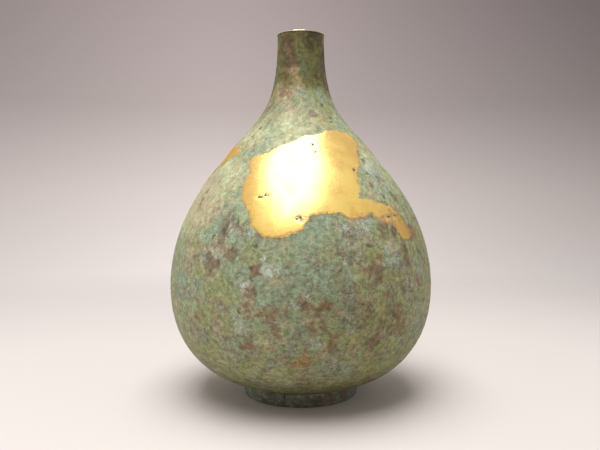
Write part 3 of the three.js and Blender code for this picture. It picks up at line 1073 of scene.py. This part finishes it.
shades = {}
for layer, amounts in tides.items():
    marked = body_marks.get(layer, 0) * weaker_marks.get(layer, 1) * (1 + more_above * upper)
    shades[layer] = marked + sum(amount * zones[zone] for zone, amount in amounts.items())
shades["smoke_and_shade"] = shades["smoke_and_shade"] * outside
shades["turned"] = (1 - above(20, 36)) * outside
shades["inside"] = 1.0 - outside
print("painted values:", len(shades))

# %% [markdown]
# Now the body is made. Its map gives the inside little room, because only a stem ever sees it.

# %% The body
bronze_body = make_object(
    "bronze_body", body.raised(relief), body.faces(), patinated_bronze, ["vase_body"],
)
paint(bronze_body, **shades)
inner_weight = 0.3
unroll(bronze_body, body, np.where(body_run_of_row == outer_run, 1.0, inner_weight))

# %% [markdown]
# A leaf is a shell two tenths of a millimetre thick. A fine grid is laid over the wall, the depth
# inside the outline is frayed with noise, and each grid point just outside the edge is pulled onto
# it, so the torn edge is a clean line and not a staircase. Small pits are cut the same way.

# %% The grid under a leaf, and its edge
leaf_pitch = 0.55
grid_margin = 4
never_zero = 1e-12
outer_at, outer_length = spline_through(body_runs[outer_run])


def leaf_grid(patch):
    """Azimuths and heights of a fine grid over a patch, with the wall's place and direction."""
    corners = corners_of(patch)
    line = outer_at(np.arange(0, outer_length, leaf_pitch))
    slope = np.gradient(line, axis=0)
    out = np.stack([-slope[:, 1], slope[:, 0]], 1) / np.linalg.norm(slope, axis=1)[:, None]
    lowest, highest = corners[:, 1].min() - grid_margin, corners[:, 1].max() + grid_margin
    keep = (line[:, 1] > lowest) & (line[:, 1] < highest)
    line, out = line[keep], out[keep]
    step = math.degrees(leaf_pitch / line[:, 0].mean())
    azimuth = np.arange(corners[:, 0].min() - grid_margin, corners[:, 0].max() + grid_margin, step)
    around = np.stack([np.sin(np.radians(azimuth)), -np.cos(np.radians(azimuth))], 1)
    places, normals = Skin.spread(line, around) * MM, Skin.spread(out, around)
    heights = np.broadcast_to(line[:, 1:2], places.shape[:2])
    return np.broadcast_to(azimuth, heights.shape), heights, places, normals


def pulled_to_edge(places, depth):
    """Moves the points just outside the edge onto it, and says which points are in use."""
    inside = depth > 0
    target, count = np.zeros(places.shape), np.zeros(depth.shape)
    for axis in (0, 1):
        for back in (1, -1):
            neighbour, its_depth = np.roll(places, back, axis), np.roll(depth, back, axis)
            crossing = ~inside & (its_depth > 0)
            share = (depth / (depth - its_depth + never_zero))[..., None]
            target += np.where(crossing[..., None], places + (neighbour - places) * share, 0)
            count += crossing
    moved = count > 0
    places = np.where(moved[..., None], target / np.maximum(count, 1)[..., None], places)
    return places, inside, inside | moved


def top_faces(inside, used):
    """Quads where four corners are in use and triangles where three are, on the top side."""
    rows, columns = inside.shape
    index = np.arange(rows * columns).reshape(rows, columns)
    faces = []
    for i, j in zip(*np.nonzero(inside[:-1, :-1] | inside[1:, :-1] | inside[1:, 1:] | inside[:-1, 1:])):
        corners = [(i, j), (i + 1, j), (i + 1, j + 1), (i, j + 1)]
        kept = [int(index[c]) for c in corners if used[c]]
        if len(kept) > 2:
            faces.append(kept)
    return faces


def shell_faces(faces, count):
    """The top faces, walls along their open edges, and the underside, count places further on."""
    edges = dict.fromkeys((a, b) for face in faces for a, b in zip(face, face[1:] + face[:1]))
    walls = [[b, a, a + count, b + count] for a, b in edges if (b, a) not in edges]
    lower = [[i + count for i in reversed(face)] for face in faces]
    return faces + walls + lower


print("length of the wall's outline:", round(float(outer_length), 1), "mm")

# %% [markdown]
# The leaf lies just under the measured outline and dips at its edge, where it was pressed down.
# It keeps two painted values: how far each point is from the torn edge, and where it was rubbed.

# %% Making a shell of leaf
leaf_top, leaf_under = -0.13, -0.33
edge_drop, drop_width = 0.12, 1.2
torn_mm, nicked_mm, pit_fray = 1.5, 1.3, 0.35
ripple_mm = 0.018
leaf_sharp_angle = 60
rubbing, deepest_kept = 0.5, 10


def leaf_shell(name, patch, pits, rubbed_places, material, node, seed):
    azimuth, height, places, normals = leaf_grid(patch)
    torn = torn_mm * grain(places, 7, seed, octaves=2) + nicked_mm * grain(places, 2.2, seed + 5, octaves=3)
    depth = depth_inside(patch, azimuth, height) + torn
    for pit_azimuth, pit_height, wide, high in pits:
        across = np.radians(azimuth - pit_azimuth) * wall_radius(height)
        away = np.hypot(across / wide, (height - pit_height) / high) - 1 + pit_fray * torn
        depth = np.minimum(depth, away * min(wide, high))
    ripple = ripple_mm * grain(places, 14, seed + 9, octaves=2)
    drop = edge_drop * (1 - smooth_step(depth, 0.0, drop_width))
    top = places + normals * ((leaf_top + ripple - drop) * MM)[..., None]
    under = places + normals * (leaf_under * MM)
    top, inside, used = pulled_to_edge(top, depth)
    under, _, _ = pulled_to_edge(under, depth)

    faces = top_faces(inside, used)
    in_use = sorted({i for face in faces for i in face})
    count = inside.size
    new_index = {old: new for new, old in enumerate(in_use + [i + count for i in in_use])}
    skin = np.concatenate([top.reshape(-1, 3), under.reshape(-1, 3)])[list(new_index)]
    renumbered = [[new_index[i] for i in face] for face in shell_faces(faces, count)]
    thing = make_object(name, skin, renumbered, material, [node], sharp=leaf_sharp_angle)
    from_edge = np.clip(np.concatenate([depth.ravel()[in_use]] * 2), 0, deepest_kept)
    rubbed_off = rubbing * spots(skin, rubbed_places, grain(skin, 3, seed + 7, octaves=2))
    paint(thing, from_edge=from_edge, rubbed_off=rubbed_off)


print("thickness of the leaf:", round(leaf_top - leaf_under, 2), "mm")

# %% [markdown]
# The gold is thin, polished metal. It needs a warm base colour, a low roughness that varies, and
# almost no bump, because a mirror shows every slope. Rubbing has left faint level streaks, the
# tone wanders a little, and the edge is worn through in specks where the brown ground shows. A
# clear lacquer on the large patch and the lip adds a softer reflection, and with it the white glow.

# %% A material for gold leaf
streak_length = 9
toned_from, toned_to = 0.38, 0.62
rubbed_from, rubbed_to, rubbed_cover = 0.52, 0.64, 0.45
bare_from, bare_to, bare_metallic = 0.66, 0.71, 0.4
warm_highlight = (1.0, 0.80, 0.45, 1)
lacquer_roughness, lacquer_index = 0.32, 2.2


def gold_material(name, wear, bare_colours, tones, lacquered=1.0, dullness=0.17):
    """Gold leaf that is worn within so many mm of its edge, with or without a clear lacquer."""
    material, tree = new_material(name)
    shader = tree.nodes["Principled BSDF"]
    where = own_places(tree)
    clouds = noise(tree, where, size_mm=16, detail=3, offset=0.43)
    specks = noise(tree, where, size_mm=1.6, detail=3, offset=0.91)
    streaks = noise(tree, squeezed(tree, where, streak_length), size_mm=9, detail=4, offset=0.27)
    reddish, yellowish, rubbed_tone = tones
    colour = mix(tree, fade(tree, clouds[0], toned_from, toned_to), reddish, yellowish)
    rubbed = fade(tree, weighted(tree, (streaks[0], 0.5), (clouds[1], 0.5)), rubbed_from, rubbed_to)
    colour = mix(tree, maths(tree, "MULTIPLY", rubbed, rubbed_cover), colour, rubbed_tone)
    near_edge = opposite(tree, fade(tree, shade_of(tree, "from_edge"), 0.0, wear))
    rubbed_off = shade_of(tree, "rubbed_off")
    bare = weighted(tree, (specks[0], 0.7), (clouds[2], 0.3), (near_edge, 0.16), (rubbed_off, 0.4))
    bare = fade(tree, bare, bare_from, bare_to)
    ground = mix(tree, fade(tree, specks[1], 0.4, 0.6), *bare_colours)
    fill(tree, shader.inputs["Base Color"], mix(tree, bare, colour, ground))
    fill(tree, shader.inputs["Metallic"], maths(tree, "MULTIPLY_ADD", bare, bare_metallic - 1, 1.0))
    rough = weighted(tree, (rubbed, 0.08), (specks[1], 0.06), (clouds[2], 0.08), (bare, 0.45))
    fill(tree, shader.inputs["Roughness"], maths(tree, "ADD", rough, dullness))
    shader.inputs["Specular Tint"].default_value = warm_highlight
    shader.inputs["Coat Weight"].default_value = lacquered
    shader.inputs["Coat Roughness"].default_value = lacquer_roughness
    shader.inputs["Coat IOR"].default_value = lacquer_index
    height = weighted(tree, (streaks[1], 0.5), (specks[2], 0.5), (bare, -1.5))
    bump(tree, shader, height, depth_mm=0.03, strength=0.6)
    return material


# %% [markdown]
# The large patch covers the front of the shoulder, with a tail that runs down to the right. A few
# pits are remembered by place: a dash at its left, a cluster low in the middle and specks higher
# up. A pit is an azimuth, a height, a half width and a half height, and a rubbed place is a mark as
# before. The second patch sits on the left flank, and from the front only its edge shows. Its
# lacquer is gone, so it is duller and stays golden in the light.

# %% The gold patches
front_pits = [
    (-19.4, 132.8, 2.0, 0.8), (-17, 133.8, 1.2, 0.6), (-2, 120.5, 0.9, 0.6), (-0.2, 121.4, 0.8, 0.7),
    (1.2, 120.8, 0.6, 0.5), (0.4, 119.4, 0.7, 0.4), (9, 164, 0.9, 0.9), (10.5, 159.5, 0.8, 0.7),
    (33, 149, 1.0, 1.2), (43, 121, 1.5, 0.5), (45.5, 120.4, 0.6, 0.4), (48, 121.5, 1.2, 0.5),
    (51, 118, 0.9, 0.5), (39, 120.5, 0.8, 0.4),
]
side_pits = [(-100, 150, 2.0, 1.0), (-84, 158, 1.5, 1.2), (-112, 144, 1.2, 1.6)]
front_rubbed = [
    (18, 122, 3), (22, 120, 3), (27, 120, 4), (32, 121, 4), (37, 118, 4), (44, 117, 3), (55, 112, 3),
    (45, 124, 2), (50, 121, 2), (10, 172, 2),
]
side_rubbed = [(-110, 138, 4), (-75, 150, 3), (-98, 168, 3)]

leaf_wear = 2.2
warm_ground = [(0.52, 0.26, 0.05), (0.26, 0.15, 0.05)]
gold_tones = [(0.86, 0.50, 0.02), (1.0, 0.68, 0.07), (0.80, 0.41, 0.03)]
bare_tones = [(0.98, 0.58, 0.18), (1.0, 0.68, 0.26), (0.94, 0.52, 0.16)]
gold_leaf = gold_material("gold_leaf", leaf_wear, warm_ground, gold_tones)
bare_gold = gold_material("bare_gold", leaf_wear, warm_ground, bare_tones, lacquered=0.0, dullness=0.36)
leaf_shell("front_gold", front_patch, front_pits, front_rubbed, gold_leaf, "front_leaf", seed=61)
leaf_shell("side_gold", side_patch, side_pits, side_rubbed, bare_gold, "side_leaf", seed=81)

# %% [markdown]
# The lip is gilded too, but hands have rubbed it. Bright gold is left on the top of the ring
# towards the front, and dull brass-brown on its sides and farther round. It is a thin rounded
# ring, and the wear is painted by height and by the way round to the brightest place.

# %% The gilded lip
lip_level, lip_lumps_mm = -0.07, 0.05
lip_wear, well_inside = 0.9, 5.0
bright_azimuth, bright_within, dull_beyond = -5, 7, 22.4
side_worn_from, side_worn_to = 0.15, 0.6
dulled = 0.8

lip = turned_skin("lip_leaf", spacing=0.18, rounding=0.05, columns=300)
lip_relief = lip_level + lip_lumps_mm * grain(lip.places, 3, seed=91)
dark_ground = [(0.16, 0.10, 0.045), (0.25, 0.24, 0.13)]
lip_tones = [(0.95, 0.72, 0.30), (1.0, 0.80, 0.40), (0.85, 0.55, 0.20)]
lip_gold = gold_material("lip_gold", lip_wear, dark_ground, lip_tones)
lip_gilding = make_object(
    "lip_gilding", lip.raised(lip_relief), lip.faces(), lip_gold, ["lip_leaf"],
)
rim_top = cad_box[1].z / MM
worn_sides = smooth_step(rim_top - lip.heights, side_worn_from, side_worn_to)
worn_round = dulled * smooth_step(abs(lip.azimuths - bright_azimuth), bright_within, dull_beyond)
worn = np.maximum(worn_sides, worn_round)
paint(lip_gilding, from_edge=np.full(worn.shape, well_inside), rubbed_off=worn)

# %% [markdown]
# The foot ring is a strip of bronze bent round, with an open seam towards the front. It stands in
# the shade, dark, with blue-green patches at its left, rust at its right and a dark lower edge that
# is partly dirt and partly painted contact shade. Its section is read as before, its edges are worn
# rounder, and the seam is pressed into the grid.

# %% The foot ring
seam_azimuth, seam_half_width, seam_depth, seam_wander = -15, 0.55, 0.7, 0.5
ring_level, ring_crust_mm = -0.12, 0.11
seam_starts, seam_full = 37.0, 37.8
crusted_from_radius, crusted_to_height = 33, 8.8

ring = turned_skin("foot_ring", spacing=0.5, rounding=0.16, columns=540)
ring_radii, ring_heights = ring.rows[:, :1], ring.rows[:, 1:]
ring_crust = grain(ring.places, 5, seed=101, octaves=3)
from_seam = np.radians(ring.azimuths - seam_azimuth) * ring_radii
wandering = from_seam + seam_wander * grain(ring.places, 4, seed=111)
seam = np.exp(-(wandering / seam_half_width) ** 2)
cut = seam * seam_depth * smooth_step(ring_radii, seam_starts, seam_full)
crusted = (ring_radii > crusted_from_radius) & (ring_heights < crusted_to_height)
ring_relief = (ring_level + ring_crust_mm * ring_crust - cut) * crusted
print("foot relief in mm:", round(float(ring_relief.min()), 2), "to", round(float(ring_relief.max()), 2))

# %% [markdown]
# The foot has the same patina as the body, in darker colours and with brown and dark layers that
# show more readily. Its marks are laid on its own wall, and their edges are crisper.

# %% The finish of the foot
foot_colours = dict(
    body_colours, ground=(0.20, 0.23, 0.17), olive=(0.17, 0.17, 0.10), teal=(0.21, 0.31, 0.26),
    moss=(0.17, 0.21, 0.11), brown=(0.13, 0.11, 0.08), tan=(0.26, 0.22, 0.17), pale=(0.38, 0.44, 0.37),
    rust=(0.18, 0.10, 0.07),
)
foot_layers = dict(
    body_layers, teal=(0.56, 0.10, 0.7, 0.14), brown=(0.54, 0.09, 0.7, 0.15), dark=(0.60, 0.08, 0.7, 0.14),
)
foot_marks = {
    "teal": [(-46, 6, 4), (-40, 6, 5), (-33, 6, 4), (-26, 7, 3)],
    "moss": [(-64, 6, 5)],
    "rust": [(28, 5, 4), (38, 5, 4), (48, 5, 4)],
    "dark": [(-15, 4, 3), (-2, 4, 4), (6, 4, 4), (14, 4, 4)],
    "pale": [(-44, 5, 3), (-36, 6, 2)],
}
foot_wall_radius = 38.5
dirt_and_shade_full, dirt_and_shade_ends, dirt_and_contact_shade = 0.8, 2.6, 0.6
foot_turned = 0.7


def on_the_foot(azimuth, height):
    return on_a_round(foot_wall_radius, azimuth, height)


dark_bronze = patina_material("dark_bronze", foot_colours, foot_layers, gloss=0.5)
ring_foot = make_object(
    "ring_foot", ring.raised(ring_relief), ring.faces(), dark_bronze, ["foot_ring"],
)
foot_shades = {
    name: spots(ring.places, marks, ring_crust, on_the_foot, full_within=0.65, gone_beyond=1.35)
    for name, marks in foot_marks.items()
}
# The dark lower edge is partly dirt and partly painted contact shade where the ring meets the table.
foot_shades["dark"] += seam + dirt_and_contact_shade * (1 - smooth_step(ring.heights, dirt_and_shade_full, dirt_and_shade_ends))
foot_shades["turned"] = np.full(seam.shape, foot_turned)
paint(ring_foot, **foot_shades)
unroll(ring_foot, ring, np.ones(len(ring.rows)))

# %% [markdown]
# Soft solder runs where it likes. The film in the joint shows as a dark, slightly wavy line set
# back between body and ring, and the bead under the base lies in small lumps with a dull grey
# skin, green in places.

# %% A material for aged solder
def solder_material():
    material, tree = new_material("aged_solder")
    shader = tree.nodes["Principled BSDF"]
    where = own_places(tree)
    lumps = noise(tree, where, size_mm=5, detail=3, offset=0.37)
    specks = noise(tree, where, size_mm=1.1, detail=3, offset=0.71)
    colour = mix(tree, fade(tree, lumps[0], 0.42, 0.6), (0.13, 0.12, 0.10), (0.24, 0.23, 0.20))
    colour = mix(tree, fade(tree, specks[0], 0.5, 0.66), colour, (0.10, 0.09, 0.06))
    green = fade(tree, weighted(tree, (lumps[1], 0.6), (specks[1], 0.4)), 0.56, 0.64)
    colour = mix(tree, green, colour, (0.16, 0.22, 0.17))
    fill(tree, shader.inputs["Base Color"], colour)
    fill(tree, shader.inputs["Metallic"], maths(tree, "MULTIPLY", opposite(tree, green), 0.6))
    rough = weighted(tree, (specks[2], 0.3), (lumps[2], 0.2), (green, 0.2), (1.0, 0.3))
    fill(tree, shader.inputs["Roughness"], rough)
    height = weighted(tree, (specks[0], 0.6), (lumps[0], 0.8))
    bump(tree, shader, height, depth_mm=0.12, strength=0.8)
    return material


aged_solder = solder_material()
print("nodes in the solder:", len(aged_solder.node_tree.nodes))

# %% [markdown]
# Both pieces of solder are turned like the rest and then pushed inwards with noise. Faces that
# look straight up stay where they are, because there the solder meets the metal above it.

# %% The solder
lump_size = 4
level_side, full_side = 0.2, 0.9


def solder_piece(name, node, spacing, rounding, lumps_mm, seed):
    skin = turned_skin(node, spacing, rounding, columns=360)
    from_level = np.linalg.norm(skin.normals - [0, 0, 1], axis=-1)
    pushed = lumps_mm * (grain(skin.places, lump_size, seed, octaves=2) - 1)
    pushed = pushed * smooth_step(from_level, level_side, full_side)
    make_object(name, skin.raised(pushed), skin.faces(), aged_solder, [node])


solder_piece("joint_solder", "foot_solder", spacing=0.8, rounding=0.08, lumps_mm=0.08, seed=121)
solder_piece("bead_of_solder", "base_solder", spacing=0.12, rounding=0.12, lumps_mm=0.1, seed=131)

# %% [markdown]
# The plate that closes the base is turned from sheet: fine rings run round its centre, and it has
# a slight dish. Nobody sees it until the vase is picked up, but then it is the first thing seen.

# %% The base plate
axis_gap, plate_edge = 0.02, 0.2
plate_points = 110
dish_depth, ring_room = 0.25, 0.09
fine_ring_mm, fine_ring_turns = 0.05, 3.1
slow_ring_mm, slow_ring_turns = 0.03, 1.3
plate_brown = 0.25

plate_low, plate_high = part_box("base_plate")
plate_radius = plate_high.x / MM
plate_under, plate_top = plate_low.z / MM, plate_high.z / MM
inwards = np.linspace(axis_gap, plate_radius - plate_edge, plate_points)[::-1]
tool_rings = fine_ring_mm * np.sin(inwards * fine_ring_turns)
tool_rings = tool_rings + slow_ring_mm * np.sin(inwards * slow_ring_turns + 1)
dish = dish_depth * (1 - (inwards / plate_radius) ** 2) + ring_room + tool_rings
plate_rows = np.concatenate([
    [[axis_gap, plate_top], [plate_radius - plate_edge, plate_top]],
    [[plate_radius, plate_top - plate_edge], [plate_radius, plate_under + plate_edge]],
    np.stack([inwards, plate_under + dish], 1),
])
plate = Skin(plate_rows, columns=240)
closing_plate = make_object(
    "closing_plate", plate.places, plate.faces(), dark_bronze, ["base_plate"],
)
paint(closing_plate, brown=np.full(plate.heights.shape, plate_brown))
